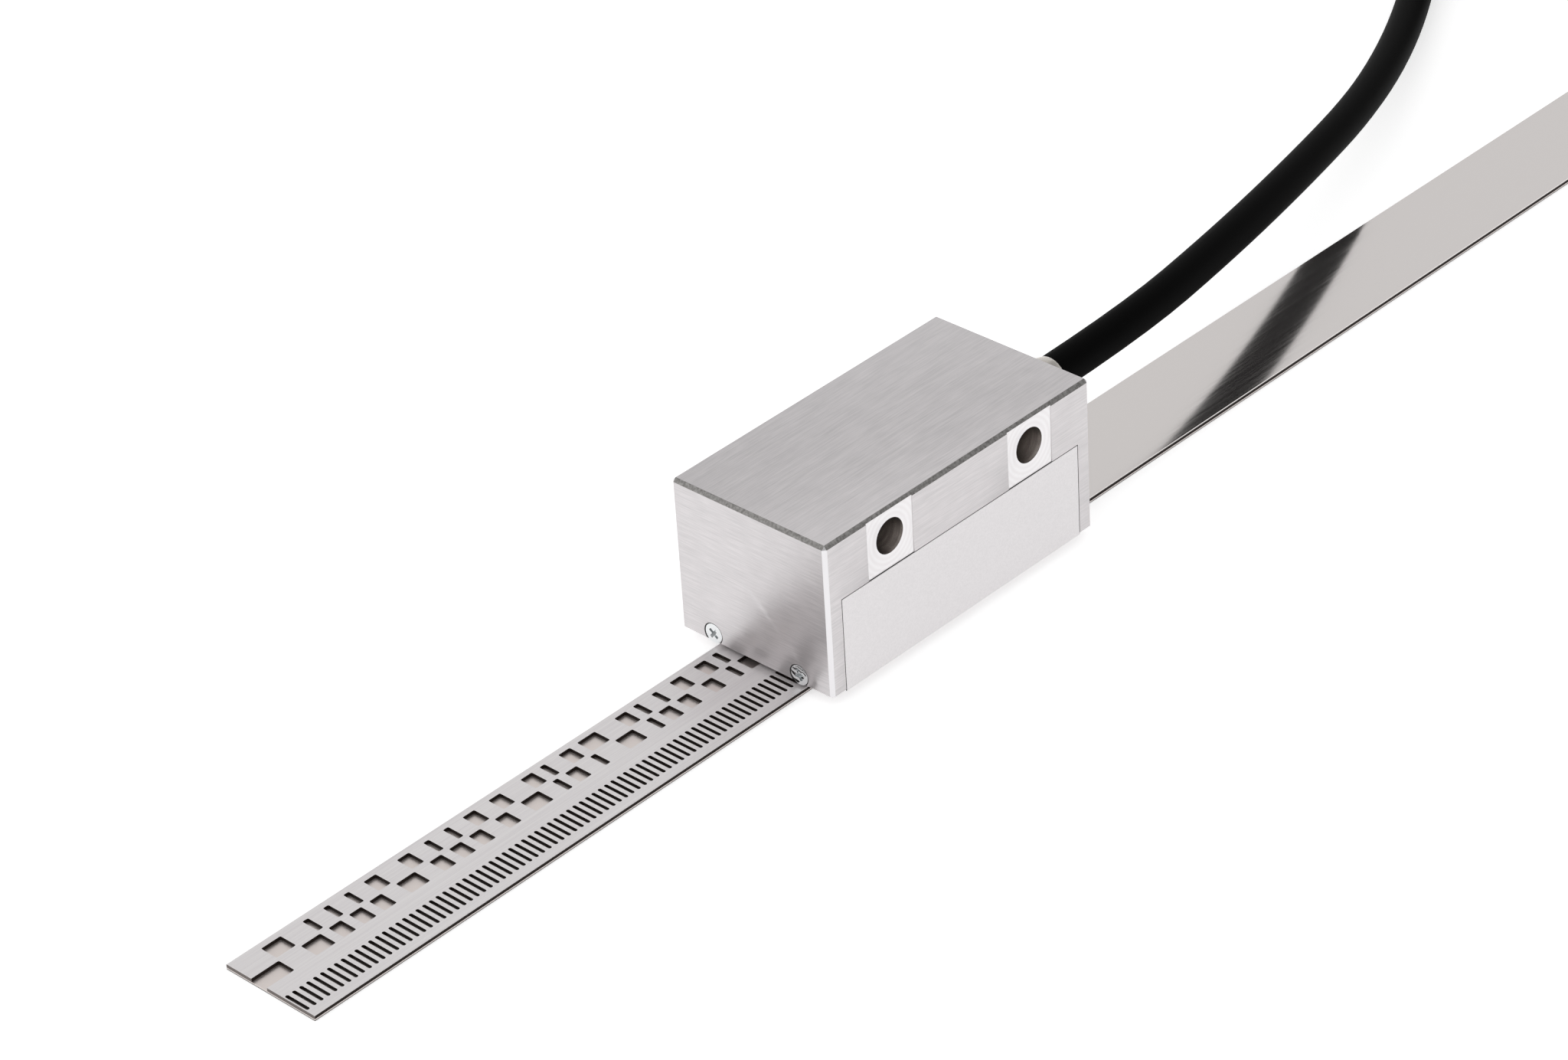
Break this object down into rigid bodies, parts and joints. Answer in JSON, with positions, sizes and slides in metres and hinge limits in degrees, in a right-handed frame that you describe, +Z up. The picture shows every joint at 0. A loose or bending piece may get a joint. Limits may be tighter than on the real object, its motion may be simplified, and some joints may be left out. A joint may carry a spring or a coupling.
{
  "type": "linear encoder",
  "caption": "Exposed linear encoder: a slotted steel tape with code tracks, and a small metal scanning head that rides over it, with a tied cable and a screw-ring plug.",
  "frame": {"origin": "under the middle of the tape's length, on the scanning head's centre line, on the surface that the tape is stuck to", "axes": "+X along the tape towards the cable, +Y across it to the side of the code tracks, +Z up from the bed"},
  "size_m": [0.4082, 0.0695, 0.0217],
  "materials": {
    "adhesive": "dark pressure-sensitive adhesive",
    "bond_film": "thin clear film over the steel carrier",
    "carrier_steel": "cold-rolled stainless strip",
    "graduated_steel": "satin stainless strip with etched slots",
    "cover_steel": "smooth stainless foil",
    "housing_aluminium": "finely milled and satin plated",
    "label_foil": "blank matt foil",
    "seal_rubber": "black nitrile rubber",
    "tray_aluminium": "milled",
    "circuit_board": "green solder resist",
    "brass": "turned",
    "screw_steel": "zinc plated",
    "chip_epoxy": "black epoxy",
    "header_plastic": "moulded",
    "polyimide": "amber film",
    "sleeve_metal": "turned and plated",
    "wire_insulation": "extruded",
    "cable_jacket": "matte black polyurethane jacket",
    "tie_nylon": "moulded nylon",
    "connector_moulding": "satin black overmoulding",
    "insert_plastic": "moulded",
    "contact_gold": "gold plated",
    "plated_brass": "nickel plated and knurled"
  },
  "bodies": {
    "scale": {"adhesive_strip": "adhesive", "carrier_strip": "carrier_steel", "bond_film": "bond_film", "graduated_strip": "graduated_steel", "cover_strip": "cover_steel"},
    "scan_head": {"housing": "housing_aluminium", "label_foil": "label_foil", "tray_gasket": "seal_rubber", "sensor_tray": "tray_aluminium", "coil_board": "circuit_board", "sensor_cover": "cover_steel", "board_posts": "brass", "main_board": "circuit_board", "board_screws": "screw_steel", "board_chips": "chip_epoxy", "wire_header": "header_plastic", "flex_link": "polyimide", "end_screws": "screw_steel", "cable_sleeve": "sleeve_metal", "sleeve_seal": "seal_rubber", "shield_ferrule": "brass", "conductor_bundle": "wire_insulation", "cable_run": "cable_jacket", "cable_hank": "cable_jacket", "hank_ties": "tie_nylon", "cable_tail": "cable_jacket", "connector_body": "connector_moulding", "connector_insert": "insert_plastic", "contact_pins": "contact_gold"},
    "screw_ring": {"coupling_ring": "plated_brass"}
  },
  "joints": [
    {"name": "head_slide", "type": "slide", "parent": "scale", "child": "scan_head", "axis": [1, 0, 0], "range_m": [-0.075, 0.195]},
    {"name": "ring_turn", "type": "hinge", "parent": "scan_head", "child": "screw_ring", "pos_m": [0.2377, 0.0504, 0.0072], "axis": [1, 0, 0], "continuous": true}
  ]
}
